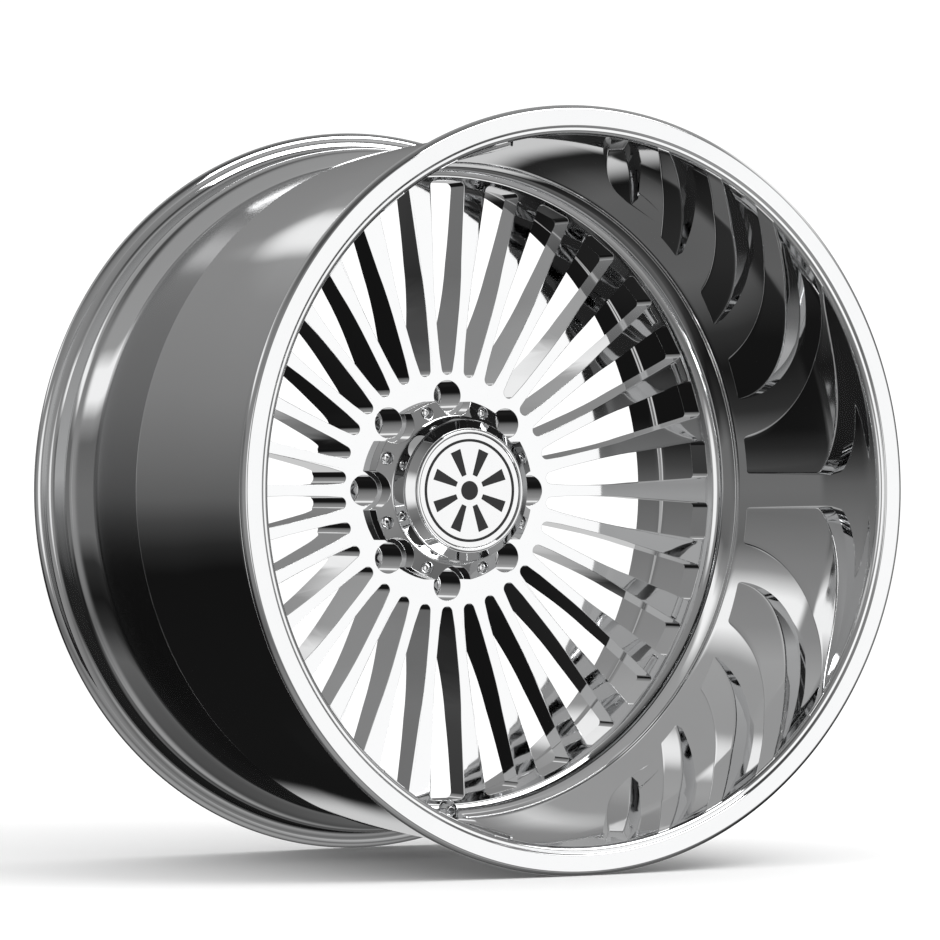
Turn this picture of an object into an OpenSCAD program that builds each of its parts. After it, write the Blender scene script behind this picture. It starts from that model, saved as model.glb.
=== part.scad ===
// Deep-lip forged truck wheel, 26 x 16 in, eight 180 mm lugs.
// A forged 30-spoke centre is seated and welded in a one-piece rim barrel.
// Each part is drawn in wheel space: the wheel axis is Z, the outboard side is +Z and the
// flat face of the spoke centre is Z = 0. place() turns that into the part's own frame:
// +Z up, outboard towards -Y, origin on the wheel axis midway between the two flanges.

/* [Rim] */
// Radius over the rim flanges
flange_r = 349; // [345:0.5:352]
// Overall width over both flanges
rim_w = 432; // [420:1:440]
// Distance from the spoke face to the front of the outboard flange
lip_depth = 252.5; // [246:0.5:256]
// Radius of the bead seats at the heel
seat_r = 332.6; // [332:0.1:333]
// Radius of the drop-centre well
well_r = 316.5; // [315:0.5:318]
// Radius of the seam between the barrel and the centre
seam_r = 310; // [309.5:0.25:310.5]

/* [Spoke centre] */
// Number of spokes
spokes = 30; // [24:1:32]
// Narrowest width of a spoke
spoke_w = 10.5; // [9:0.1:11]
// Inner end radius of the windows
window_in = 110; // [108:0.5:112]
// Outer end radius of the windows
window_out = 293; // [290:0.5:294]
// Height of the hub pad behind the spoke face
hub_t = 65; // [62:1:68]
// Radius of the hub bore
bore_r = 62.05; // [55:0.05:62.05]

/* [Lug holes] */
// Number of lug holes
lugs = 8; // [8:1:8]
// Radius of the lug circle
lug_pcr = 90; // [90:0.5:91]
// Radius of a lug pocket
lug_pocket_r = 14.4; // [13:0.1:14.6]
// Radius of a stud hole
stud_hole_r = 7.5; // [7:0.1:8]

/* [Centre cap] */
// Outer radius of the lobed cap flange
cap_r = 86.3; // [85:0.1:87]
// Thickness of the cap flange
cap_flange_t = 14.2; // [13:0.1:15]
// Radius of the scallops round the lug pockets
scallop_r = 19; // [18:0.1:19.5]
// Radius of the screw circle
screw_pcr = 79.2; // [78.5:0.1:79.5]

/* [Air valve] */
// Radius of the pocket that holds the valve
valve_pocket_r = 10; // [9.5:0.1:10.5]
// Distance of the valve from the wheel axis
valve_r = 303.5; // [303:0.1:304]
// Depth of the pocket below the spoke face
valve_pocket_d = 10; // [9:0.5:11]

/* [Hidden] */
$fn = 96;
round_fn = 240;
rear_w = lip_depth - rim_w;      // rear flange face in wheel space
mid_w = lip_depth - rim_w / 2;   // rim mid-plane in wheel space
pitch_a = 360 / spokes;
eps = 0.01;

// Wheel space to the part's frame
module place() {
    rotate([90, 0, 0]) translate([0, 0, -mid_w]) children();
}

// Copies on a circle, the first at angle a0
module around(count, r, a0 = 0) {
    for (i = [0:count - 1]) rotate(a0 + i * 360 / count) translate([r, 0, 0]) children();
}

// Straight ring between two radii and two heights
module ring(r_in, r_out, w0, w1) {
    rotate_extrude($fn = round_fn) translate([r_in, w0]) square([r_out - r_in, w1 - w0]);
}

// Points on an arc, from angle a0 to a1
function arc(c, r, a0, a1, n) = [for (i = [0:n]) let (a = a0 + (a1 - a0) * i / n) [c[0] + r * cos(a), c[1] + r * sin(a)]];

// Points on a cubic curve through four control points
function curve(p, n) = [for (i = [0:n]) let (t = i / n, s = 1 - t)
    s * s * s * p[0] + 3 * s * s * t * p[1] + 3 * s * t * t * p[2] + t * t * t * p[3]];

function flip(points) = [for (i = [len(points) - 1:-1:0]) points[i]];

// ---- Rim barrel ----

// Outline of one flange and bead seat, from the flange face to the seat's hump.
// The radius is measured from the wheel axis, the depth from the flange face.
flange_bevel = 3.5;
flange_t = 10;
hump_d = 39;
function flange_outline() = [
    [flange_r - flange_bevel, 0], [flange_r, flange_bevel], [flange_r, 7], [flange_r - 3.5, flange_t],
    [flange_r - 11, 11.5], [seat_r + 1.6, 13], [seat_r, 16.5],
    [seat_r - 1.4, 33], [seat_r - 0.3, 36], [seat_r - 0.3, hump_d], [seat_r - 1.4, hump_d + 4]];

// Lip between the pads: it deepens from the foot, runs level, and closes in on the front ring
foot_w = 33;
foot_r = seam_r - 0.4;
ring_r = 322;
ring_w = lip_depth - 5.5;
floor_r = 326.3;
bend_w = 98;
lip_floor = [[ring_r, ring_w], [floor_r, 226], [floor_r, 150], [320, bend_w], [foot_r, foot_w]];

seat_top = 26.2;
ledge_w = -30;
ledge_r = seam_r - 5;
module barrel_profile() {
    rear = [for (p = flange_outline()) [p[0], rear_w + p[1]]];
    front = flip([for (p = flange_outline()) [p[0], lip_depth - p[1]]]);
    polygon(concat(
        [[324, rear_w]], rear,
        [[326.5, -133], [well_r, -112.5], [well_r, -15.5], [well_r + 9.5, -6], [seat_r - 1.4, 118]],
        front,
        [[ring_r + 8.2, lip_depth], [ring_r + 5.6, lip_depth - 2.5], [ring_r + 2.8, lip_depth - 2.9]],
        lip_floor,
        [[foot_r, 30], [seam_r + 0.6, 27.4], [seam_r, seat_top], [seam_r, ledge_w],
         [ledge_r, ledge_w], [ledge_r, ledge_w - 6], [309.2, -40], [309.2, -109], [319.5, -128], [322.5, -136]]));
}

// Raised pads on the lip. Each outline is drawn on the lip as angle and depth:
// side a starts at the foot and runs to the front ring, side b the same further round.
pad_top = [[foot_r, foot_w], [313.5, 190], [320.8, ring_w - 3.5]];
pads = [
    // [middle angle, side a, side b]
    [20, concat([[3.1, 46]], curve([[3.1, 160], [9.5, 216], [28, 212], [36, 250]], 9)),
         concat([[9.3, 45]], curve([[10.5, 52], [11, 134], [25, 228], [40.5, 250]], 9))],
    [36, curve([[16.8, 50], [18, 146], [36, 193], [50.3, 250]], 8),
         concat([[23.6, 51]], curve([[24.8, 58], [30.4, 149], [44, 200], [55, 250]], 7))],
    [49, curve([[31.2, 54], [38.3, 144], [48, 171], [62.5, 250]], 7),
         concat([[37.8, 60]], curve([[38.6, 67], [43, 121], [55, 188], [66, 250]], 6))],
    [61, curve([[46.3, 68], [53.7, 131], [63.3, 192], [73.2, 250]], 5),
         concat([[51, 68]], curve([[51.8, 76], [59, 129], [67.2, 187], [76, 250]], 5))],
    [71, curve([[60.6, 86], [66.7, 128], [72.4, 178], [78.4, 216]], 4),
         curve([[61.8, 84], [66, 89], [69.6, 102], [81, 206]], 5)]];

function pad_top_r(w) = lookup(w, [for (p = pad_top) [p[1], p[0]]]);

// One pad stands on the radial line at its middle angle
module pad(p) {
    outline = concat(p[1], flip(p[2]));
    rotate([90, 0, 90 + p[0]])
        translate([0, 0, 285])
            linear_extrude(height = 60)
                polygon([for (q = outline) [pad_top_r(min(q[1], ring_w)) * sin(q[0] - p[0]), q[1]]]);
}

// What the pads may fill: from their top face to a little way into the wall
module pad_ring() {
    rotate_extrude($fn = round_fn)
        polygon(concat(pad_top, [[323.6, ring_w - 3.5], [floor_r + 1.5, 226], [floor_r + 1.5, 150], [321.8, bend_w], [foot_r + 1.8, foot_w]]));
}

module pad_set() {
    intersection() {
        pad_ring();
        for (turn = [0, 180], side = [0, 1])
            rotate(turn) mirror([0, side, 0])
                for (p = pads) pad(p);
    }
}

module valve_pocket() {
    translate([0, -valve_r, -valve_pocket_d]) cylinder(r = valve_pocket_r, h = valve_pocket_d + 50);
}

// Air passage from the bottom of the valve's chamber out to the tyre side of the well
chamber_w = -26;
passage_w = -23;
passage_r = 2;
module air_passage() {
    translate([0, -valve_r, passage_w]) rotate([90, 0, 0]) cylinder(r = passage_r, h = 20);
}

module rim_barrel() {
    color("#d9dbde") place() difference() {
        union() {
            rotate_extrude($fn = round_fn) barrel_profile();
            pad_set();
        }
        valve_pocket();
        air_passage();
    }
}

// ---- Spoke centre ----

cap_recess_r = 64;
cap_recess_d = 12;

// Section of the centre before its windows are cut: flat face, fillet up to the seam, curved back
module centre_profile() {
    polygon([
        [bore_r, -hub_t], [112, -hub_t], [118, -52], [135, -46.5], [180, -36.5], [240, -28], [288, -25],
        [296, -28], [300, ledge_w], [seam_r, ledge_w], [seam_r, 24.8], [seam_r - 0.8, seat_top], [seam_r - 1.7, seat_top],
        [307.6, 14], [306, 7.5], [303, 2.6], [298.5, 0],
        [cap_recess_r, 0], [cap_recess_r, -cap_recess_d], [bore_r, -cap_recess_d]]);
}

// Half width of a window at radius r that leaves a spoke of width w
function half_window(r, w) = r * sin(pitch_a / 2) - w / 2;

// One window: round inner end, straight-sided, flaring spokes, small corners at the outer end
corner_r = 4.4;
module window() {
    in_r = 5.65;
    out_h = half_window(window_out, 25);
    side = concat(
        arc([window_in + in_r, 0], in_r, 180, 105, 3),
        [[130, half_window(130, spoke_w + 0.4)], [175, half_window(175, spoke_w)],
         [218, half_window(218, spoke_w + 4.8)]],
        arc([window_out - corner_r, out_h - corner_r], corner_r, 90, 0, 3));
    mirrored = [for (p = flip(side)) if (p[1] > eps) [p[0], -p[1]]];
    translate([0, 0, -hub_t - 5]) linear_extrude(height = hub_t + 10) polygon(concat(side, mirrored));
}

// Lug pocket with a flat floor, a 60 degree seat and a stud hole
lug_pocket_d = 38;
module lug_hole() {
    seat_top_r = 12.5;
    seat_h = (seat_top_r - stud_hole_r) / tan(30);
    translate([0, 0, -lug_pocket_d]) cylinder(r = lug_pocket_r, h = lug_pocket_d + 5);
    translate([0, 0, -lug_pocket_d - seat_h]) cylinder(r1 = stud_hole_r, r2 = seat_top_r, h = seat_h + eps);
    translate([0, 0, -hub_t - 5]) cylinder(r = stud_hole_r, h = hub_t);
}

thread_hole_d = 15;
thread_r = 3;
module spoke_centre() {
    color("#e2e4e6") place() difference() {
        rotate_extrude($fn = round_fn) centre_profile();
        for (i = [0:spokes - 1]) rotate((i + 0.5) * pitch_a) window();
        around(lugs, lug_pcr) lug_hole();
        around(lugs, screw_pcr, 180 / lugs) translate([0, 0, -thread_hole_d]) cylinder(r = thread_r, h = thread_hole_d + 5);
        valve_pocket();
        translate([0, -valve_r, chamber_w]) cylinder(r = valve_thread_r, h = 20);
        air_passage();
    }
}

// Fillet weld between the back of the centre and the ledge it sits on
module weld_bead() {
    color("#b9bcc0") place()
        rotate_extrude($fn = round_fn)
            polygon([[ledge_r, ledge_w], [ledge_r - 4.6, ledge_w], [ledge_r - 4.2, ledge_w - 2.2],
                     [ledge_r - 2.4, ledge_w - 4.1], [ledge_r, ledge_w - 4.8]]);
}

// ---- Centre cap ----

cap_top = 42.2;
bezel_seat = 39.7;
badge_seat = 38.2;
badge_r = 53.8;
spigot_r = 63.7;
spigot_d = 10;
screw_seat = 10.2;
groove_w = -5;
groove_r = 61.3;

module cap_housing() {
    color("#e6e8ea") place() difference() {
        union() {
            difference() {
                rotate_extrude($fn = round_fn)
                    polygon([[0, 0], [cap_r, 0], [cap_r, cap_flange_t - 1.4], [70, cap_flange_t + 3.4],
                             [0, cap_flange_t + 3.4]]);
                around(lugs, lug_pcr) translate([0, 0, -1]) cylinder(r = scallop_r, h = cap_flange_t + 5);
            }
            rotate_extrude($fn = round_fn)
                polygon([[0, cap_flange_t], [69, cap_flange_t], [69, cap_flange_t + 3.8], [67.2, 35],
                         [66.4, 36.8], [58.6, cap_top], [0, cap_top]]);
            translate([0, 0, -spigot_d]) cylinder(r = spigot_r, h = spigot_d + 1, $fn = round_fn);
        }
        rotate_extrude($fn = round_fn)
            polygon([[0, -spigot_d - 1], [57.5, -spigot_d - 1], [57.5, 12], [55, 28], [48, 31.5], [0, 31.5]]);
        translate([0, 0, bezel_seat]) cylinder(r = 58, h = 10, $fn = round_fn);
        translate([0, 0, badge_seat]) cylinder(r = badge_r + 0.15, h = 10, $fn = round_fn);
        ring(groove_r, spigot_r + 1, groove_w - 1.6, groove_w + 1.6);
        around(lugs, screw_pcr, 180 / lugs) {
            translate([0, 0, screw_seat]) cylinder(r = 5.8, h = 12);
            translate([0, 0, -1]) cylinder(r = thread_r + 0.2, h = 20);
        }
    }
}

// Ring that frames the badge, with both front edges broken
module cap_bezel() {
    color("#f0f1f2") place()
        rotate_extrude($fn = round_fn)
            polygon([[54, bezel_seat], [57.9, bezel_seat], [57.9, 43.4], [57.1, 44.2], [54.8, 44.2], [54, 43.4]]);
}

badge_bottom = 39.2;
badge_top = 42.4;
module badge_plate() {
    color("#c9cbce") place() translate([0, 0, badge_bottom])
        cylinder(r = badge_r, h = badge_top - badge_bottom, $fn = round_fn);
}

module badge_adhesive() {
    color("#2b2b2d") place() translate([0, 0, badge_seat])
        cylinder(r = 52, h = badge_bottom - badge_seat, $fn = round_fn);
}

// Plain ornament on the badge: a thin hoop round eight leaning blades
blade = [[15, -2.4], [40, -5.5], [40, 5.5], [15, 2.4]];
module badge_motif() {
    color("#18191b") place() translate([0, 0, badge_top]) {
        ring(46, 48.5, 0, 0.5);
        for (i = [0:7]) rotate(i * 45 + 22.5) linear_extrude(height = 0.5) polygon(blade);
        cylinder(r = 9, h = 0.5);
    }
}

module cap_o_ring() {
    color("#202022") place() translate([0, 0, groove_w])
        rotate_extrude($fn = round_fn) translate([62.65, 0]) circle(r = 1.3, $fn = 24);
}

// Button-head screws with hexagon sockets
head_r = 5.25;
module cap_screw() {
    difference() {
        union() {
            translate([0, 0, -12]) cylinder(r = thread_r - 0.05, h = screw_seat + 12 + eps);
            translate([0, 0, screw_seat])
                rotate_extrude() polygon([[0, 0], [head_r, 0], [head_r, 0.8], [4.6, 2.1], [3.2, 3], [0, 3.3]]);
        }
        translate([0, 0, screw_seat + 1.3]) cylinder(d = 4 / cos(30), h = 5, $fn = 6);
    }
}

module cap_screws() {
    color("#cfd1d4") place() around(lugs, screw_pcr, 180 / lugs) cap_screw();
}

// ---- Air valve ----

// The valve stands in the pocket, parallel to the wheel axis. Heights are from the pocket floor.
valve_thread_r = 5;
washer_t = 1.2;
hex_h = 3.6;
neck_top = 15;
neck_r = 3.85;
core_r = 2.5;
pin_r = 0.55;
spring_low = 4.5;
spring_high = 9.5;

module at_valve() {
    place() translate([0, -valve_r, -valve_pocket_d]) children();
}

module tube(r_in, r_out, h0, h1) {
    translate([0, 0, h0]) difference() {
        cylinder(r = r_out, h = h1 - h0);
        translate([0, 0, -1]) cylinder(r = r_in, h = h1 - h0 + 2);
    }
}

module valve_body() {
    color("#d3d5d8") at_valve() difference() {
        union() {
            translate([0, 0, -9]) cylinder(r = valve_thread_r - 0.03, h = 9 + washer_t + eps);
            translate([0, 0, washer_t]) cylinder(d = 12 / cos(30), h = hex_h, $fn = 6);
            cylinder(r = neck_r, h = neck_top);
        }
        translate([0, 0, -5]) cylinder(r = core_r + 0.1, h = 30);
        translate([0, 0, -10]) cylinder(r = 1.8, h = 10);
    }
}

module valve_seal_washer() {
    color("#2a2a2c") at_valve() tube(valve_thread_r + 0.1, 7.4, 0, washer_t);
}

// Core: a threaded plug holds the barrel that guides the pin
plug_h = 10.9;
core_top = 13.6;
module valve_core_plug() {
    color("#c9a94f") at_valve() difference() {
        tube(pin_r + 0.2, core_r, plug_h, core_top);
        translate([-5, -0.5, core_top - 1]) cube([10, 1, 2]);
    }
}

module valve_core_body() {
    color("#c9a94f") at_valve() difference() {
        union() {
            translate([0, 0, -2]) cylinder(r = core_r - 0.5, h = plug_h + 2);
            translate([0, 0, 4]) cylinder(r = core_r, h = plug_h - 4);
        }
        translate([0, 0, -3]) cylinder(r = pin_r + 0.2, h = 20);
        translate([0, 0, spring_low]) cylinder(r = 1.6, h = 20);
    }
}

module valve_core_gasket() {
    color("#e8e6df") at_valve() tube(core_r - 0.5, core_r + 0.05, 2, 3.9);
}

// Pin with the collar that holds the spring and the foot that carries the seal
module valve_core_pin() {
    color("#b9bbbf") at_valve() {
        translate([0, 0, -4.5]) cylinder(r = pin_r, h = 18.9);
        translate([0, 0, -4.5]) cylinder(r = 1.4, h = 0.9);
        translate([0, 0, spring_high]) cylinder(r = 1.4, h = 0.8);
    }
}

module valve_core_seal() {
    color("#262628") at_valve() tube(pin_r + 0.02, 1.5, -3.58, -2.05);
}

// Coil spring round the pin: a wire of six sides swept along a helix
wire_r = 0.16;
coil_r = 1.1;
turns = 5;
steps = 12;
function coil_point(i, j) = let (
    a = i * 360 / steps,
    lift = (spring_high - spring_low - 2 * wire_r - 0.04) * i / (turns * steps),
    r = coil_r + wire_r * cos(j * 60),
    z = spring_low + wire_r + 0.02 + lift + wire_r * sin(j * 60))
    [r * cos(a), r * sin(a), z];
module valve_core_spring() {
    last = turns * steps;
    points = [for (i = [0:last], j = [0:5]) coil_point(i, j)];
    sides = [for (i = [0:last - 1], j = [0:5]) let (k = (j + 1) % 6)
        each [[i * 6 + j, (i + 1) * 6 + j, (i + 1) * 6 + k], [i * 6 + j, (i + 1) * 6 + k, i * 6 + k]]];
    start = [[0, 1, 2, 3, 4, 5]];
    stop = [[for (j = [5:-1:0]) last * 6 + j]];
    color("#9fa2a6") at_valve() polyhedron(points, concat(sides, start, stop));
}

// Hexagon cap, screwed on the neck
module valve_cap() {
    color("#e4e6e8") at_valve() difference() {
        union() {
            translate([0, 0, 5.2]) cylinder(d = 11 / cos(30), h = 11.3, $fn = 6);
            translate([0, 0, 16.5]) cylinder(r1 = 5.4, r2 = 4, h = 1.6);
        }
        translate([0, 0, 0]) cylinder(r = neck_r + 0.06, h = 16.2);
    }
}

module valve_cap_gasket() {
    color("#1f1f21") at_valve() tube(1.4, neck_r, neck_top + 0.05, 16.15);
}

rim_barrel();
spoke_centre();
weld_bead();
cap_housing();
cap_bezel();
badge_plate();
badge_motif();
badge_adhesive();
cap_o_ring();
cap_screws();
valve_body();
valve_seal_washer();
valve_core_plug();
valve_core_body();
valve_core_gasket();
valve_core_pin();
valve_core_seal();
valve_core_spring();
valve_cap();
valve_cap_gasket();
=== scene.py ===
"""A deep-lip forged truck wheel, 26 x 16 in: a polished 30-spoke centre welded in a one-piece barrel."""
import math

import bpy
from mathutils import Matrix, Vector


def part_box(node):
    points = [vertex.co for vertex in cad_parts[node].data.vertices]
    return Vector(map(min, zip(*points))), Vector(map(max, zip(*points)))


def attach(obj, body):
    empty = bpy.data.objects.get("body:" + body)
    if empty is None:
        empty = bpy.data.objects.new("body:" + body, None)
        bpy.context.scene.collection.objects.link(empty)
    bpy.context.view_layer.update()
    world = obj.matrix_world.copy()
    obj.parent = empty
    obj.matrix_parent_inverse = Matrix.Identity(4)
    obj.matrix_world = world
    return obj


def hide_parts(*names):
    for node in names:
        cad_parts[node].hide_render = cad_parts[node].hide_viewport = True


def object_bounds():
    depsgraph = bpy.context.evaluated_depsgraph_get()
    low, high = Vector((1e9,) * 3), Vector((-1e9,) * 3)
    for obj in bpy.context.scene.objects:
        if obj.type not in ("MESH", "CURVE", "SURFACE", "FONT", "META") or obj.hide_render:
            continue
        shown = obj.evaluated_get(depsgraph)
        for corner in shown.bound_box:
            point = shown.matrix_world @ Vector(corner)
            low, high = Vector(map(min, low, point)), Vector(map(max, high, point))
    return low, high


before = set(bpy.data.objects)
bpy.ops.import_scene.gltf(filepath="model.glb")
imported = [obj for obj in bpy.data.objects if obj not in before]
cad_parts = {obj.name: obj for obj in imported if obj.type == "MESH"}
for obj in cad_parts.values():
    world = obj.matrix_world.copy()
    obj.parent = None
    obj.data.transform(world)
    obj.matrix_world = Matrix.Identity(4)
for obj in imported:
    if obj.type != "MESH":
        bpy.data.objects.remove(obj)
cad_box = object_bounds()

# ------------------------------------------------------------------------------------------
# Rim barrel
# One forging, spun out and then turned all over: both flanges and bead seats, the drop-centre
# well, and the deep front lip. The lip is milled back round twenty raised pads, then polished.
# ------------------------------------------------------------------------------------------

MM = 0.001
hub_back_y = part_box("spoke_centre")[1][1]
face_y = hub_back_y - 65 * MM
RIM_STEPS = 280


def only(piece):
    """Select one piece and make it active."""
    bpy.ops.object.select_all(action="DESELECT")
    piece.select_set(True)
    bpy.context.view_layer.objects.active = piece


def eased(corners, points=5):
    """Round an outline's corners. A corner is (radius, depth), or (radius, depth, rounding)."""
    outline = []
    for i, corner in enumerate(corners):
        here = Vector(corner[:2])
        if len(corner) == 2:
            outline.append(here)
            continue
        ends = []
        for other in (corners[i - 1], corners[(i + 1) % len(corners)]):
            way = Vector(other[:2]) - here
            ends.append(here + way.normalized() * min(corner[2], way.length * 0.48))
        for k in range(points + 1):
            t = k / points
            outline.append(ends[0].lerp(here, t).lerp(here.lerp(ends[1], t), t))
    return outline


def tidy_shell(piece, reach=1e-6):
    """Merge doubles and point every face outwards."""
    only(piece)
    bpy.ops.object.mode_set(mode="EDIT")
    bpy.ops.mesh.select_all(action="SELECT")
    bpy.ops.mesh.remove_doubles(threshold=reach)
    bpy.ops.mesh.normals_make_consistent(inside=False)
    bpy.ops.object.mode_set(mode="OBJECT")


def turned(name, outline, steps=RIM_STEPS, centre=(0, 0)):
    """Turn a closed outline of (radius, depth) points, in mm, about the wheel axis or one beside it."""
    bpy.ops.object.select_all(action="DESELECT")
    bpy.ops.mesh.primitive_circle_add(vertices=len(outline), radius=1)
    piece = bpy.context.object
    piece.name = name
    for vertex, (radius, depth) in zip(piece.data.vertices, outline):
        vertex.co = (centre[0] + radius * MM, face_y - depth * MM, centre[1])
    bpy.ops.object.mode_set(mode="EDIT")
    bpy.ops.mesh.select_all(action="SELECT")
    bpy.ops.mesh.spin(steps=steps, angle=math.tau, center=(centre[0], 0, centre[1]), axis=(0, 1, 0))
    bpy.ops.object.mode_set(mode="OBJECT")
    tidy_shell(piece)
    return piece


def joined(name, pieces):
    """Join pieces into the first one."""
    only(pieces[0])
    for piece in pieces:
        piece.select_set(True)
    bpy.ops.object.join()
    pieces[0].name = name
    return pieces[0]


def cut(piece, cutter):
    """Cut a closed shape out of a piece, and throw the cutter away."""
    only(piece)
    change = piece.modifiers.new("cut", "BOOLEAN")
    change.operation = "DIFFERENCE"
    change.solver = "EXACT"
    change.object = cutter
    bpy.ops.object.modifier_apply(modifier=change.name)
    bpy.data.objects.remove(cutter)


def broken_edges(piece, width, angle=35, segments=2):
    """Break the sharp edges by a small round, as a deburring wheel leaves them."""
    only(piece)
    change = piece.modifiers.new("edges", "BEVEL")
    change.width = width * MM
    change.segments = segments
    change.limit_method = "ANGLE"
    change.angle_limit = math.radians(angle)
    change.use_clamp_overlap = False
    change.harden_normals = False
    bpy.ops.object.modifier_apply(modifier=change.name)


def smooth(piece, angle=30):
    """Shade smooth up to an angle, each normal leaning to its largest faces, so flats stay flat."""
    only(piece)
    bpy.ops.object.shade_smooth_by_angle(angle=math.radians(angle))
    change = piece.modifiers.new("normals", "WEIGHTED_NORMAL")
    change.keep_sharp = True
    bpy.ops.object.modifier_apply(modifier=change.name)


def placed(piece, body, slot, material, *nodes):
    """Put a finished piece on its body, with its material, in place of its CAD nodes. The slot is not used.
    """
    piece.data.materials.clear()
    piece.data.materials.append(material)
    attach(piece, body)
    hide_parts(*nodes)


FRONT = 252.5
REAR = -179.5
FLANGE = [(345.4, 0, 1.2), (349, 3.6, 1.4), (349, 7.2, 1.2), (345.5, 10.2, 2), (338, 11.3, 3.5),
          (334.4, 13.4, 2.5), (332.6, 17), (331.3, 32.5, 2.5), (332.4, 36.5, 3), (332.3, 38.5, 2),
          (331.2, 43.5, 4)]
LIP_FLOOR = [(326.4, 226, 6), (326.3, 150, 14), (320, 98, 30), (309.6, 33, 4)]
rear_side = [(r, REAR + d, *rest) for r, d, *rest in FLANGE]
front_side = [(r, FRONT - d, *rest) for r, d, *rest in reversed(FLANGE)]
BARREL = ([(324, REAR, 2)] + rear_side
          + [(326.5, -133, 6), (316.5, -112.5, 8), (316.5, -15.5, 5), (326, -6, 2.5), (331.2, 118, 40)]
          + front_side
          + [(330.2, FRONT, 0.8), (328.6, 250.9, 0.5), (325.9, 250.7, 0.8), (323.9, 249.6, 0.8),
             (322, 246.8, 1)]
          + LIP_FLOOR
          + [(309.6, 29.5, 0.8), (310.7, 28.6, 0.5), (310.9, 27.2, 0.5), (310, 26.2), (310, -30),
             (305, -30, 0.5), (305, -36, 1), (309.2, -40, 2), (309.2, -109, 8), (319.5, -128, 6),
             (322.5, -136, 8)])
rim_barrel = turned("rim_barrel", eased(BARREL, 3))

POCKET_Z = -303.5 * MM


def bored(name, radius, low, high, x=0.0, z=0.0, sides=64):
    """A cutter parallel to the wheel axis, between two depths in mm."""
    bpy.ops.object.select_all(action="DESELECT")
    bpy.ops.mesh.primitive_cylinder_add(
        vertices=sides, radius=radius * MM, depth=(high - low) * MM,
        location=(x, face_y - (low + high) / 2 * MM, z), rotation=(math.pi / 2, 0, 0))
    cutter = bpy.context.object
    cutter.name = name
    bpy.ops.object.transform_apply(location=True, rotation=True, scale=True)
    return cutter


def air_passage():
    """The small drilling that lets the air from the valve's chamber into the tyre."""
    bpy.ops.object.select_all(action="DESELECT")
    bpy.ops.mesh.primitive_cylinder_add(vertices=24, radius=2 * MM, depth=24 * MM,
                                        location=(0, face_y + 23 * MM, POCKET_Z - 12 * MM))
    cutter = bpy.context.object
    bpy.ops.object.transform_apply(location=True, rotation=True, scale=True)
    return cutter


cut(rim_barrel, bored("pocket", 10, -10, 50, z=POCKET_Z))
cut(rim_barrel, air_passage())

# A pad's sides are curves of four (angle, depth) points: side a and side b, foot first.
# The rounding is that of its foot corners, and the drafts are those of side a and side b.
PADS = [
    ([(3.06, 45), (3.03, 85), (3.0, 125), (3.0, 166)], [(3.0, 166), (9.5, 218), (28, 212), (36, 249)],
     [(9.6, 45), (11, 134), (25, 228), (40.5, 249)], 3.5, 0.2, 0.5),
    (None, [(16.6, 49), (18, 146), (36, 193), (50.3, 249)],
     [(24.2, 52), (30.4, 149), (44, 200), (55, 249)], 3, 0.5, 0.5),
    (None, [(31.0, 54), (38.3, 144), (48, 171), (62.5, 249)],
     [(38.0, 62), (43, 121), (55, 188), (66.2, 249)], 3, 0.5, 0.5),
    (None, [(46.2, 67), (53.7, 131), (63.3, 192), (73.4, 249)],
     [(51.3, 71), (59, 129), (67, 187), (75.9, 249)], 2.5, 0.5, 0.5),
    (None, [(60.6, 86), (66.7, 128), (72.4, 178), (79.2, 221)],
     [(61.6, 87), (66, 89), (69.4, 102), (80.8, 209)], 0.8, 0.5, 0.5)]
PAD_TOP = [(42, 309.0), (190, 313.5), (247, 322.15), (260, 326)]
PAD_COLUMNS = 8
PAD_ROWS = 54


def between(table, x):
    """Straight-line value of a table of (x, y) rows."""
    for (x0, y0), (x1, y1) in zip(table, table[1:]):
        if x <= x1:
            return y0 + (y1 - y0) * (x - x0) / (x1 - x0)
    return table[-1][1]


floor_table = [(33, 309.6), (98, 320), (150, 326.3), (226, 326.4), (247, 322)]


def cubic(points, t):
    a, b, c, d = (Vector(p) for p in points)
    s = 1 - t
    return s * s * s * a + 3 * s * s * t * b + 3 * s * t * t * c + t * t * t * d


def side_point(curves, t):
    """The point at t, from 0 at the foot to 1 at the front, on one or two curves."""
    whole = min(int(t * len(curves)), len(curves) - 1)
    return cubic(curves[whole], t * len(curves) - whole)


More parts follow.
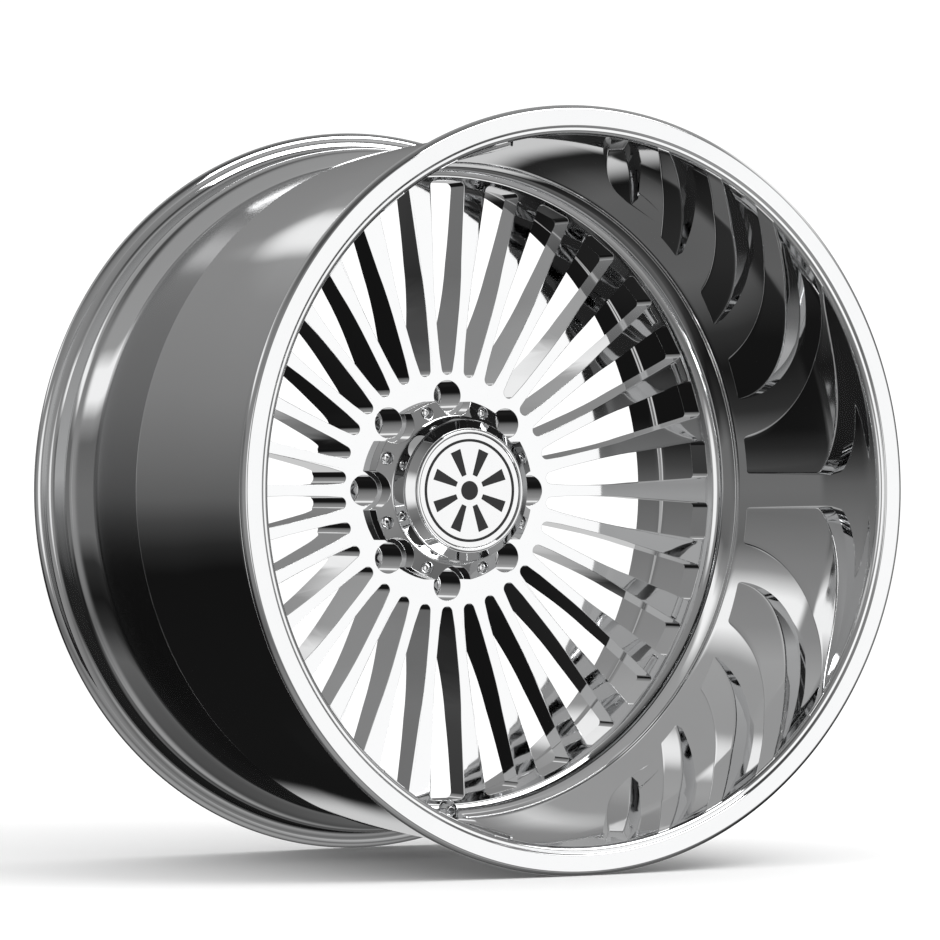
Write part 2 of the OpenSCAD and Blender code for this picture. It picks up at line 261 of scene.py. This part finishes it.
def pad(number, spec):
    """One raised pad: two grids, its top with a drafted skirt and its hidden underside, sewn together."""
    straight, curve_a, curve_b, rounding, draft_a, draft_b = spec
    side_a = [straight, curve_a] if straight else [curve_a]
    side_b = [curve_b]
    layers = []
    for layer in ("top", "underside"):
        bpy.ops.object.select_all(action="DESELECT")
        bpy.ops.mesh.primitive_grid_add(x_subdivisions=PAD_COLUMNS + 2, y_subdivisions=PAD_ROWS + 2, size=2)
        sheet = bpy.context.object
        for vertex in sheet.data.vertices:
            column = round((vertex.co.x + 1) / 2 * (PAD_COLUMNS + 2)) - 1
            row = round((vertex.co.y + 1) / 2 * (PAD_ROWS + 2)) - 1
            across = min(max(column / PAD_COLUMNS, 0), 1)
            along = min(max(row / PAD_ROWS, 0), 1) ** 1.35
            a, b = side_point(side_a, along), side_point(side_b, along)
            foot = side_point(side_a, 0).lerp(side_point(side_b, 0), 0.5)
            reach = abs((a.y + b.y) / 2 - foot.y)
            if reach < rounding:
                pull = rounding - math.sqrt(rounding ** 2 - (rounding - reach) ** 2)
                turn = math.degrees(pull / 310)
                a, b = a + Vector((turn, 0)), b - Vector((turn, 0))
            point = a.lerp(b, across)
            depth = point.y
            floor_r = between(floor_table, depth)
            radius = min(between(PAD_TOP, depth), floor_r)
            rise = floor_r - radius
            skirt = column in (-1, PAD_COLUMNS + 1) or row in (-1, PAD_ROWS + 1)
            if skirt:
                ahead = side_point(side_a if across < 0.5 else side_b, min(along + 0.02, 1))
                back = side_point(side_a if across < 0.5 else side_b, max(along - 0.02, 0))
                way = Vector((math.radians(ahead.x - back.x) * 320, ahead.y - back.y)).normalized()
                out = Vector((0, 0))
                if column < 0:
                    out += Vector((-way.y, way.x)) * draft_a
                if column > PAD_COLUMNS:
                    out += Vector((way.y, -way.x)) * draft_b
                if row < 0:
                    out += Vector((0, -1)) * 0.5
                point = point + Vector((math.degrees(out.x * rise / 320), out.y * rise))
                radius = between(floor_table, point.y) + 1.6
            elif layer == "underside":
                radius = floor_r + 1.6
            angle = math.radians(point.x)
            vertex.co = (radius * MM * math.cos(angle), face_y - point.y * MM,
                         radius * MM * math.sin(angle))
        layers.append(sheet)
    shell = joined(f"pad_{number}", layers)
    tidy_shell(shell)
    return shell


pads = joined("pads", [pad(i + 1, spec) for i, spec in enumerate(PADS)])
broken_edges(pads, 1.1, angle=28, segments=3)


def mirrored_copy(piece, scale):
    """A copy turned over across the planes whose scale is -1."""
    only(piece)
    bpy.ops.object.duplicate()
    other = bpy.context.object
    other.scale = scale
    bpy.ops.object.transform_apply(location=True, rotation=True, scale=True)
    tidy_shell(other)
    return other


pads = joined("pads", [pads, mirrored_copy(pads, (1, 1, -1))])
pads = joined("pads", [pads, mirrored_copy(pads, (-1, 1, 1))])
rim_barrel = joined("rim_barrel", [rim_barrel, pads])
smooth(rim_barrel, 32)


class Wire:
    """A number socket in a material, with the arithmetic written out as Python."""

    def __init__(self, paint, socket):
        self.paint = paint
        self.socket = socket

    def _math(self, operation, a, b):
        return self.paint.node("ShaderNodeMath", {"operation": operation}, {0: a, 1: b})

    def __add__(self, other):
        return self._math("ADD", self, other)

    def __radd__(self, other):
        return self._math("ADD", other, self)

    def __sub__(self, other):
        return self._math("SUBTRACT", self, other)

    def __rsub__(self, other):
        return self._math("SUBTRACT", other, self)

    def __mul__(self, other):
        return self._math("MULTIPLY", self, other)

    def __rmul__(self, other):
        return self._math("MULTIPLY", other, self)

    def __pow__(self, other):
        return self._math("POWER", self, other)


class Paint:
    """The nodes of a material, or of the room, round its one shader."""

    def __init__(self, owner):
        owner.use_nodes = True
        self.material = owner
        self.tree = owner.node_tree
        self.shader = next(n for n in self.tree.nodes if n.type in ("BSDF_PRINCIPLED", "BACKGROUND"))

    def node(self, kind, settings=None, inputs=None, out=0):
        """Add a node: its settings first, then its sockets' values or links."""
        made = self.tree.nodes.new(kind)
        for key, value in (settings or {}).items():
            if key == "stops":
                for k, (place, colour) in enumerate(value):
                    stop = made.color_ramp.elements[k] if k < 2 else made.color_ramp.elements.new(place)
                    stop.position = place
                    stop.color = colour
            else:
                setattr(made, key, value)
        for key, value in (inputs or {}).items():
            self.feed(made.inputs[key], value)
        return Wire(self, made.outputs[out])

    def feed(self, socket, value):
        if isinstance(value, Wire):
            self.tree.links.new(value.socket, socket)
        else:
            socket.default_value = value

    def set(self, **values):
        """Constants or links on the Principled shader, with underscores for spaces."""
        for key, value in values.items():
            self.feed(self.shader.inputs[key.replace("_", " ")], value)

    def place(self):
        return self.node("ShaderNodeTexCoord", out=3)

    def noise(self, scale, detail=3.0, roughness=0.55, stretch=None):
        """Noise on the piece's own coordinates, stretched or not."""
        vector = self.place()
        if stretch:
            vector = self.node("ShaderNodeMapping", {}, {"Vector": vector, "Scale": stretch})
        return self.node("ShaderNodeTexNoise", {}, {
            "Vector": vector, "Scale": scale, "Detail": detail, "Roughness": roughness})

    def blend(self, factor, a, b):
        return self.node("ShaderNodeMix", {"data_type": "RGBA"}, {0: factor, 6: a, 7: b}, out=2)

    def bump(self, height, strength, distance):
        return self.node("ShaderNodeBump", {}, {
            "Height": height, "Strength": strength, "Distance": distance})

    def from_axis(self):
        """Distance from the wheel axis, in metres."""
        parts = self.node("ShaderNodeSeparateXYZ", {}, {0: self.place()})
        height = Wire(self, parts.socket.node.outputs[2])
        return (parts * parts + height * height) ** 0.5


def polished(name, colour, dull_colour, low, high, turning=0.0, spacing=0.0009):
    """Mirror-polished metal: faint haze, fine wiping marks and, where it was turned, tool rings."""
    paint = Paint(bpy.data.materials.new(name))
    haze = paint.noise(9.0, 4.0)
    smears = paint.noise(60.0, 3.0, 0.6, (1.0, 0.25, 1.0))
    wear = paint.noise(300.0, 2.0, 0.5, (1.0, 0.12, 1.0))
    cloud = haze * 0.6 + smears * 0.4
    paint.set(Base_Color=paint.blend(cloud, (*colour, 1), (*dull_colour, 1)), Metallic=1.0,
              Roughness=cloud * (high - low) + low)
    height = wear * 0.5 + smears * 0.5
    if turning:
        phase = paint.from_axis() * (math.tau / spacing)
        rings = paint.node("ShaderNodeMath", {"operation": "SINE"}, {0: phase})
        height = height + rings * turning
    paint.set(Normal=paint.bump(height, 0.03, 0.00004))
    return paint.material


def step(paint, value, low, high):
    """From 0 below the low mark to 1 above the high one."""
    return paint.node("ShaderNodeMapRange", {"interpolation_type": "SMOOTHSTEP"},
                      {0: value, 1: low, 2: high, 3: 0.0, 4: 1.0})


def darker_well(material):
    """Make the tyre's side of the drop-centre well darker in colour and rougher than the rest."""
    paint = Paint(material)
    parts = paint.node("ShaderNodeSeparateXYZ", {}, {0: paint.place()})
    along = Wire(paint, parts.socket.node.outputs[1])
    outside = step(paint, paint.from_axis(), 312 * MM, 313 * MM)
    past_hump = step(paint, along, hub_back_y - 51 * MM, hub_back_y - 48 * MM)
    at_bead = step(paint, along, hub_back_y + 46 * MM, hub_back_y + 48 * MM)
    well = outside * past_hump * (1 - at_bead)
    colour, roughness = (paint.shader.inputs[name] for name in ("Base Color", "Roughness"))
    bright = Wire(paint, colour.links[0].from_socket)
    glossy = Wire(paint, roughness.links[0].from_socket)
    # The well's base colour is darkened to a mid grey and its roughness raised to 0.16.
    paint.feed(colour, paint.blend(well, bright, (0.50, 0.503, 0.508, 1)))
    paint.feed(roughness, glossy * (1 - well) + well * 0.16)
    return material


barrel_polish = darker_well(polished("barrel_polish", (0.93, 0.933, 0.937), (0.88, 0.885, 0.89), 0.02, 0.07))
placed(rim_barrel, "wheel", "polished_barrel", barrel_polish, "rim_barrel")

# ------------------------------------------------------------------------------------------
# Spoke centre
# Forged blank, faced flat, with thirty windows milled between flaring spokes. It has the hub
# pad behind, eight lug pockets with 60 degree seats, and a pocket for the air valve.
# ------------------------------------------------------------------------------------------

SPOKES = 30
HALF_PITCH = math.pi / SPOKES
CENTRE = [(62.05, -65, 1), (112, -65, 1.5), (118, -52, 8), (135, -46.5), (180, -36.5, 20), (240, -28, 20),
          (288, -25, 1.5), (296, -28), (300, -30, 1), (310, -30), (310, 24.8, 0.8), (309.1, 26.2, 0.5),
          (308.2, 26, 0.6), (307.5, 14), (306, 7.5, 3), (303, 2.6, 3), (298.5, 0, 1.5), (294.5, 0),
          (106, 0), (64, 0, 0.5), (64, -12), (62.05, -12)]
centre = turned("spoke_centre", eased(CENTRE, 6))


def window_cutter():
    """One window between two spokes, lying along +X: full round inside, small corners outside."""
    inner, outer, round_in, corner = 110.0, 293.0, 5.65, 4.4
    half_out = outer * math.sin(HALF_PITCH) - 12.5
    side = [(inner + round_in - round_in * math.cos(a), round_in * math.sin(a))
            for a in (math.radians(8 + 75 * k / 8) for k in range(9))]
    for radius, spoke in ((130, 10.9), (145, 10.6), (160, 10.5), (175, 10.5), (190, 11.3), (204, 12.8),
                          (218, 15.3)):
        side.append((radius, radius * math.sin(HALF_PITCH) - spoke / 2))
    side += [(outer - corner + corner * math.sin(a), half_out - corner + corner * math.cos(a))
             for a in (math.pi / 2 * k / 8 for k in range(9))]
    outline = side + [(x, -y) for x, y in reversed(side)]
    bpy.ops.object.select_all(action="DESELECT")
    bpy.ops.mesh.primitive_circle_add(vertices=len(outline), radius=1, fill_type="NGON")
    cutter = bpy.context.object
    for vertex, (x, z) in zip(cutter.data.vertices, outline):
        vertex.co = (x * MM, face_y + 75 * MM, z * MM)
    bpy.ops.object.mode_set(mode="EDIT")
    bpy.ops.mesh.select_all(action="SELECT")
    bpy.ops.mesh.extrude_region_move(TRANSFORM_OT_translate={"value": (0, -90 * MM, 0)})
    bpy.ops.object.mode_set(mode="OBJECT")
    tidy_shell(cutter)
    return cutter


def spread(piece, count, start=0.0, name=None):
    """Copies of a piece turned evenly about the wheel axis, the piece itself turned to the start."""
    copies = []
    for i in range(count):
        only(piece)
        bpy.ops.object.duplicate()
        other = bpy.context.object
        other.rotation_euler = (0, start + i * math.tau / count, 0)
        bpy.ops.object.transform_apply(location=True, rotation=True, scale=True)
        other.name = f"{name or piece.name}_{i + 1}"
        copies.append(other)
    bpy.data.objects.remove(piece)
    return copies


def lug_cutter():
    """Pocket, seat and stud hole of one lug, on its circle."""
    outline = [(0, 6), (14.4, 6), (14.4, -37.2), (13.6, -38), (12.5, -38), (7.5, -46.7), (7.5, -70),
               (0, -70)]
    return turned("lug_cutter", outline, 64, (90 * MM, 0))


LUG_STEP = math.tau / 8
windows = spread(window_cutter(), SPOKES, HALF_PITCH)
lugs = spread(lug_cutter(), 8)
threads = spread(bored("thread", 3, -15, 6, x=79.2 * MM, sides=32), 8, LUG_STEP / 2)
cut(centre, joined("openings", windows))
cut(centre, joined("lug_holes", lugs))
cut(centre, joined("thread_holes", threads))
cut(centre, bored("pocket", 10, -10, 50, z=POCKET_Z))
cut(centre, bored("chamber", 5, -26, -9, z=POCKET_Z, sides=48))
cut(centre, air_passage())
tidy_shell(centre, 5e-6)
broken_edges(centre, 0.45, angle=40)
smooth(centre, 28)

centre_polish = polished("centre_polish", (0.945, 0.948, 0.952), (0.90, 0.905, 0.91), 0.015, 0.05)
placed(centre, "wheel", "polished_centre", centre_polish, "spoke_centre")

# ------------------------------------------------------------------------------------------
# Weld bead
# The fillet that joins the back of the centre to the barrel's ledge all the way round, laid by
# hand in short overlapping pools and left as welded.
# ------------------------------------------------------------------------------------------

WELD = [(305.2, -29.9), (300.6, -29.9), (300.7, -31, 1), (302.2, -33.6, 1.6), (305, -34.6, 0.6)]
weld = turned("weld_bead", eased(WELD, 3), 1080)
for vertex in weld.data.vertices:
    turn = math.atan2(vertex.co.z, vertex.co.x)
    pool = abs(math.sin(turn * 190 + 0.4 * math.sin(turn * 13)))
    radius = math.hypot(vertex.co.x, vertex.co.z)
    crown = max(0.0, 305 * MM - radius) * max(0.0, vertex.co.y - (face_y + 29.9 * MM)) * 60
    vertex.co.y -= crown * (0.25 + 0.6 * (1 - pool)) * 0.5
smooth(weld, 60)


def rough_metal(name, colour, dark, low, high, grain, depth):
    """Bare metal with a satin, uneven surface."""
    paint = Paint(bpy.data.materials.new(name))
    spots = paint.noise(grain, 5.0)
    broad = paint.noise(grain / 12, 2.0)
    mixed = spots * 0.6 + broad * 0.4
    paint.set(Base_Color=paint.blend(mixed, (*colour, 1), (*dark, 1)), Metallic=1.0,
              Roughness=mixed * (high - low) + low, Normal=paint.bump(spots, 0.4, depth))
    return paint.material


weld_metal = rough_metal("weld_metal", (0.66, 0.66, 0.67), (0.42, 0.42, 0.44), 0.28, 0.5, 900.0, 0.0001)
placed(weld, "wheel", "weld_metal", weld_metal, "weld_bead")

# ------------------------------------------------------------------------------------------
# Centre cap
# A chromed housing with a flange scalloped round the lug pockets, held by eight screws. Its
# spigot centres it in the hub bore, and an O-ring keeps the water out.
# ------------------------------------------------------------------------------------------

CAP = [(86.3, 0, 0.4), (86.3, 12.8, 0.5), (70.4, 17.5, 0.6), (69, 18.2, 0.4), (67.2, 35, 0.8),
       (66.4, 36.8, 0.5), (58.6, 42.2, 0.3), (58, 42.2, 0.2), (58, 39.7), (53.95, 39.7),
       (53.95, 38.2), (0, 38.2), (0, 31.5),
       (48, 31.5, 3), (55, 28, 2), (57.5, 12, 3), (57.5, -10, 0.5), (63.7, -10, 0.8), (63.7, -6.6),
       (61.3, -6.6), (61.3, -3.4), (63.7, -3.4), (63.7, 0)]
cap = turned("cap_housing", eased(CAP, 5), 256)
cut(cap, joined("scallops", spread(bored("scallop", 19, -0.5, 18.9, x=90 * MM, sides=96), 8)))
cut(cap, joined("head_seats", spread(bored("seat", 5.8, 10.2, 22, x=79.2 * MM, sides=48), 8, LUG_STEP / 2)))
cut(cap, joined("screw_holes", spread(bored("hole", 3.2, -1, 12, x=79.2 * MM, sides=32), 8, LUG_STEP / 2)))
tidy_shell(cap, 5e-6)
broken_edges(cap, 0.5, angle=40)
smooth(cap, 28)

cap_chrome = polished("cap_chrome", (0.94, 0.943, 0.947), (0.90, 0.905, 0.91), 0.01, 0.035)
placed(cap, "wheel", "cap_chrome", cap_chrome, "cap_housing")

BEZEL = [(54.05, 39.75), (57.85, 39.75), (57.85, 44.2, 1.6), (54.05, 44.2, 1.6)]
bezel = turned("cap_bezel", eased(BEZEL, 6), 256)
smooth(bezel, 50)
placed(bezel, "wheel", "cap_chrome", cap_chrome, "cap_bezel")

# ------------------------------------------------------------------------------------------
# Badge
# A thin metal plate, turned on its face so that it shows fine rings, on a foam pad, with a
# plain ornament of eight leaning blades inside a hoop, filled with black enamel.
# ------------------------------------------------------------------------------------------

badge = turned("badge_plate", eased([(0, 39.2), (53.8, 39.2, 0.3), (53.8, 42.4, 0.5), (0, 42.4)], 4), 256)
smooth(badge, 40)
badge_metal = polished("badge_metal", (0.93, 0.932, 0.935), (0.88, 0.883, 0.888), 0.08, 0.15, 1.2)
placed(badge, "wheel", "badge_face", badge_metal, "badge_plate")

hoop = turned("hoop", eased([(46, 42.4), (48.5, 42.4), (48.5, 42.9, 0.3), (46, 42.9, 0.3)], 3), 192)
boss = turned("boss", eased([(0, 42.4), (9, 42.4), (9, 42.9, 0.3), (0, 42.9)], 3), 96)


def blade():
    """One tapered blade, lying along +X, its front edges broken."""
    outline = [(15, -2.4), (40, -5.5), (40, 5.5), (15, 2.4)]
    bpy.ops.object.select_all(action="DESELECT")
    bpy.ops.mesh.primitive_circle_add(vertices=4, radius=1, fill_type="NGON")
    made = bpy.context.object
    made.name = "blade"
    for vertex, (x, z) in zip(made.data.vertices, outline):
        vertex.co = (x * MM, face_y - 42.4 * MM, z * MM)
    bpy.ops.object.mode_set(mode="EDIT")
    bpy.ops.mesh.select_all(action="SELECT")
    bpy.ops.mesh.extrude_region_move(TRANSFORM_OT_translate={"value": (0, -0.5 * MM, 0)})
    bpy.ops.object.mode_set(mode="OBJECT")
    tidy_shell(made)
    broken_edges(made, 0.15)
    return made


motif = joined("badge_motif", [hoop, boss] + spread(blade(), 8, LUG_STEP / 2))
smooth(motif, 40)


def coated(name, colour, worn, roughness, coat, grain=180.0, depth=0.00003):
    """Enamel, rubber or plastic: a dark body with a fine uneven skin."""
    paint = Paint(bpy.data.materials.new(name))
    skin = paint.noise(grain, 4.0)
    paint.set(Base_Color=paint.blend(skin, (*colour, 1), (*worn, 1)), Metallic=0.0,
              Roughness=skin * 0.16 + (roughness - 0.08), Coat_Weight=coat,
              Normal=paint.bump(skin, 0.25, depth))
    return paint.material


enamel = coated("black_enamel", (0.008, 0.008, 0.009), (0.014, 0.014, 0.015), 0.38, 0.0)
placed(motif, "wheel", "motif_enamel", enamel, "badge_motif")

foam = turned("badge_adhesive", eased([(0, 38.2), (52, 38.2, 0.2), (52, 39.2, 0.2), (0, 39.2)], 2), 128)
smooth(foam, 40)
foam_tape = coated("foam_tape", (0.03, 0.03, 0.03), (0.06, 0.06, 0.06), 0.85, 0.0, 2500.0, 0.0001)
placed(foam, "wheel", "foam_tape", foam_tape, "badge_adhesive")

ring_section = [(62.65 + 1.3 * math.cos(math.tau * k / 16), -5 + 1.3 * math.sin(math.tau * k / 16))
                for k in range(16)]
o_ring = turned("cap_o_ring", ring_section, 192)
smooth(o_ring, 60)
seal_rubber = coated("seal_rubber", (0.018, 0.018, 0.018), (0.035, 0.035, 0.036), 0.62, 0.0, 700.0)
placed(o_ring, "wheel", "seal_rubber", seal_rubber, "cap_o_ring")

# ------------------------------------------------------------------------------------------
# Cap screws
# Eight M6 button-head screws with hexagon sockets, plated bright, set down in the flange.
# ------------------------------------------------------------------------------------------

SCREW = [(0, -12), (2.4, -12, 0.3), (2.95, -11.2, 0.2), (2.95, 10.2, 0.2), (5.25, 10.2, 0.2),
         (5.25, 11, 0.3), (4.5, 12.4, 1.2), (2.9, 13.4, 1), (0, 13.5)]
screw = turned("cap_screw", eased(SCREW, 4), 48, (79.2 * MM, 0))
cut(screw, bored("socket", 2 / math.cos(math.pi / 6), 11.5, 16, x=79.2 * MM, sides=6))
tidy_shell(screw)
smooth(screw, 30)
screw_plate = polished("screw_plate", (0.93, 0.933, 0.938), (0.86, 0.865, 0.87), 0.03, 0.08)
for screw in spread(screw, 8, LUG_STEP / 2):
    placed(screw, "wheel", "screw_steel", screw_plate, "cap_screws")

# ------------------------------------------------------------------------------------------
# Air valve
# A short plated body screwed into the bottom of its pocket over a rubber washer. The dust cap
# screws on its neck. The brass core inside has a sprung pin that opens it.
# ------------------------------------------------------------------------------------------

VALVE_FLOOR = -10.0
valve_at = (0.0, POCKET_Z)


def valve_turned(name, corners, steps=64, points=4):
    """Turn an outline whose heights are from the pocket's floor."""
    raised = [(radius, depth + VALVE_FLOOR, *rest) for radius, depth, *rest in corners]
    return turned(name, eased(raised, points), steps, valve_at)


def hexagon(name, flats, low, high):
    """A hexagonal bar along the valve's axis, chamfered at its corners as a turned nut is."""
    bar = bored(name, flats / math.sqrt(3), low + VALVE_FLOOR, high + VALVE_FLOOR, z=POCKET_Z, sides=6)
    broken_edges(bar, 0.35, angle=40, segments=3)
    return bar


body_round = valve_turned("valve_body", [
    (1.8, -9), (4.4, -9, 0.3), (4.97, -8.3, 0.2), (4.97, 1.2), (3.85, 1.2), (3.85, 14.4, 0.2),
    (3.4, 15, 0.2), (2.6, 15), (2.6, -5), (1.8, -5)])
body_hex = hexagon("valve_hex", 12, 1.2, 4.8)
cut(body_hex, bored("neck_bore", 3.8, VALVE_FLOOR, VALVE_FLOOR + 6, z=POCKET_Z, sides=64))
valve_body = joined("valve_body", [body_round, body_hex])
smooth(valve_body, 35)
valve_chrome = polished("valve_chrome", (0.92, 0.925, 0.93), (0.84, 0.845, 0.85), 0.03, 0.09)
placed(valve_body, "wheel", "valve_chrome", valve_chrome, "valve_body")

washer = valve_turned("valve_seal_washer", [(5.1, 0), (7.4, 0, 0.3), (7.4, 1.2, 0.3), (5.1, 1.2)])
smooth(washer, 50)
placed(washer, "wheel", "seal_rubber", seal_rubber, "valve_seal_washer")

shell_hex = hexagon("valve_cap", 11, 5.2, 16.5)
shell_top = valve_turned("shell_top", [
    (0, 16.4), (5.35, 16.4), (5.35, 16.9, 0.3), (4, 18.1, 0.5), (0, 18.1)])
cut(shell_hex, bored("cap_bore", 3.91, VALVE_FLOOR, VALVE_FLOOR + 16.2, z=POCKET_Z, sides=64))
valve_cap = joined("valve_cap", [shell_hex, shell_top])
smooth(valve_cap, 35)
placed(valve_cap, "cap_shell", "valve_chrome", valve_chrome, "valve_cap")

cap_gasket = valve_turned("valve_cap_gasket", [
    (1.4, 15.05, 0.2), (3.8, 15.05, 0.2), (3.8, 16.15), (1.4, 16.15)])
smooth(cap_gasket, 50)
placed(cap_gasket, "cap_gasket", "seal_rubber", seal_rubber, "valve_cap_gasket")

core_brass = rough_metal("core_brass", (0.80, 0.62, 0.28), (0.55, 0.40, 0.16), 0.2, 0.38, 1500.0, 0.00003)
pin_steel = rough_metal("pin_steel", (0.62, 0.62, 0.64), (0.45, 0.45, 0.47), 0.2, 0.36, 1500.0, 0.00002)
core_seat = coated("core_gasket", (0.80, 0.78, 0.70), (0.66, 0.63, 0.55), 0.5, 0.0, 1200.0)
for node, material in (("valve_core_plug", core_brass), ("valve_core_body", core_brass),
                       ("valve_core_gasket", core_seat), ("valve_core_pin", pin_steel),
                       ("valve_core_seal", seal_rubber), ("valve_core_spring", pin_steel)):
    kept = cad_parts[node]
    for place in kept.material_slots:
        place.material = material

# ------------------------------------------------------------------------------------------
# Stage
# A pale floor under the wheel, a white room with soft darker sides for the polish to reflect,
# and a camera a little to the left of the wheel's face at the height of its axis.
# ------------------------------------------------------------------------------------------

floor_z = cad_box[0][2]
bpy.ops.object.select_all(action="DESELECT")
bpy.ops.mesh.primitive_plane_add(size=60, location=(0, 0, floor_z))
ground = bpy.context.object
ground.name = "ground"
ground_paint = Paint(bpy.data.materials.new("ground_paint"))
pale = ground_paint.blend(ground_paint.noise(3.0), (0.93, 0.93, 0.93, 1), (0.95, 0.95, 0.95, 1))
ground_paint.set(Base_Color=pale, Roughness=0.95, Specular_IOR_Level=0.0)
ground.data.materials.append(ground_paint.material)
ground.visible_glossy = False

# The spokes stay out of the mirror of the deep lip, so that its milled shapes read clean.
centre.visible_glossy = False

# The room as the polish sees it: black below, grey at eye level and lighter above, with a bright
# band beside the wheel. Two broad white screens stand in front, and three small ones behind.
def greys(paint, height, shades):
    """A grey that changes with the height of the direction, from -1 below to 1 above."""
    stops = [((z + 1) / 2, (v, v, v, 1)) for z, v in shades]
    return paint.node("ShaderNodeValToRGB", {"stops": stops}, {0: height * 0.5 + 0.5})


def screen(paint, heading, azimuth, tilt, inner, outer):
    """How much of a round soft screen a direction meets. Azimuth 0 faces the wheel's front."""
    way = Vector((math.sin(math.radians(azimuth)), -math.cos(math.radians(azimuth)), tilt)).normalized()
    facing = paint.node("ShaderNodeVectorMath", {"operation": "DOT_PRODUCT"}, {0: heading, 1: way}, out=1)
    return paint.node("ShaderNodeMapRange", {"interpolation_type": "SMOOTHSTEP"}, {
        0: facing, 1: math.cos(math.radians(outer)), 2: math.cos(math.radians(inner)), 3: 0.0, 4: 1.0})


world = bpy.data.worlds.new("room")
bpy.context.scene.world = world
room = Paint(world)
heading = room.node("ShaderNodeTexCoord")
parts = room.node("ShaderNodeSeparateXYZ", {}, {0: heading}).socket.node.outputs
height = Wire(room, parts[2])
behind = greys(room, height, [(-1, 0.03), (-0.68, 0.05), (-0.56, 0.02), (-0.46, 0.008), (-0.2, 0.007),
                              (-0.14, 0.022), (-0.076, 0.06), (-0.02, 0.115), (0.06, 0.15), (0.24, 0.22),
                              (0.42, 0.26), (0.5, 0.36), (0.68, 0.3), (1, 0.2)])
beside = greys(room, height, [(-1, 0.06), (-0.68, 0.12), (-0.56, 0.03), (-0.45, 0.01), (-0.3, 0.03),
                              (-0.18, 0.15), (0, 0.16), (0.2, 0.13), (0.3, 0.3), (0.38, 0.95),
                              (0.5, 0.95), (0.58, 0.33), (1, 0.3)])
before = greys(room, height, [(-1, 0.36), (-0.75, 0.3), (-0.5, 0.14), (-0.3, 0.22), (-0.1, 0.28),
                              (0.2, 0.25), (0.6, 0.2), (0.8, 0.06), (1, 0.04)])
front = room.node("ShaderNodeMapRange", {"interpolation_type": "SMOOTHSTEP"},
                  {0: Wire(room, parts[1]), 1: 0.15, 2: -0.45, 3: 0.0, 4: 1.0})
side = room.node("ShaderNodeMapRange", {"interpolation_type": "SMOOTHSTEP"},
                 {0: Wire(room, parts[1]), 1: 0.80, 2: 0.73, 3: 0.0, 4: 1.0})
reflected = room.blend(front, room.blend(side, behind, beside), before)
SCREENS = ((30, 0, 13, 24, 1.04), (-35, 0, 8, 20, 0.95), (177, 0.6, 3, 7, 0.9), (175, -0.15, 7, 15, 0.6),
           (148, -0.25, 7, 17, 0.6))
for azimuth, tilt, inner, outer, glow in SCREENS:
    met = screen(room, heading, azimuth, tilt, inner, outer)
    reflected = room.blend(met, reflected, (glow, glow, glow, 1))
rays = room.node("ShaderNodeLightPath").socket.node.outputs
mirrored = Wire(room, rays["Glossy Depth"])
again = room.node("ShaderNodeMath", {"operation": "GREATER_THAN"}, {0: mirrored, 1: 1.5})
twice = greys(room, height, [(-1, 0.01), (-0.35, 0.02), (-0.1, 0.18), (0.05, 0.42), (0.5, 0.34), (1, 0.2)])
reflected = room.blend(again, reflected, twice)
room.set(Color=room.blend(Wire(room, rays["Is Glossy Ray"]), (1.12, 1.12, 1.12, 1), reflected))


def softbox(name, at, size, power, target=(0, 0, 0)):
    """A rectangular soft light aimed at a point."""
    lamp = bpy.data.lights.new(name, "AREA")
    lamp.shape = "RECTANGLE"
    lamp.size, lamp.size_y = size
    lamp.energy = power
    holder = bpy.data.objects.new(name, lamp)
    bpy.context.collection.objects.link(holder)
    holder.location = at
    holder.rotation_euler = (Vector(target) - Vector(at)).to_track_quat("-Z", "Y").to_euler()


softbox("key", (1.5, -2.5, 3.0), (2.5, 2.0), 60)

eye = bpy.data.cameras.new("eye")
eye.lens = 194.7
eye.sensor_width = 36
eye.shift_y = 0.0218
eye.clip_end = 100
view = bpy.data.objects.new("eye", eye)
bpy.context.collection.objects.link(view)
view.location = (-2.391, -4.148, 0)
view.rotation_euler = (math.pi / 2, 0, math.radians(-30))
bpy.context.scene.camera = view
bpy.context.scene.view_settings.view_transform = "Standard"
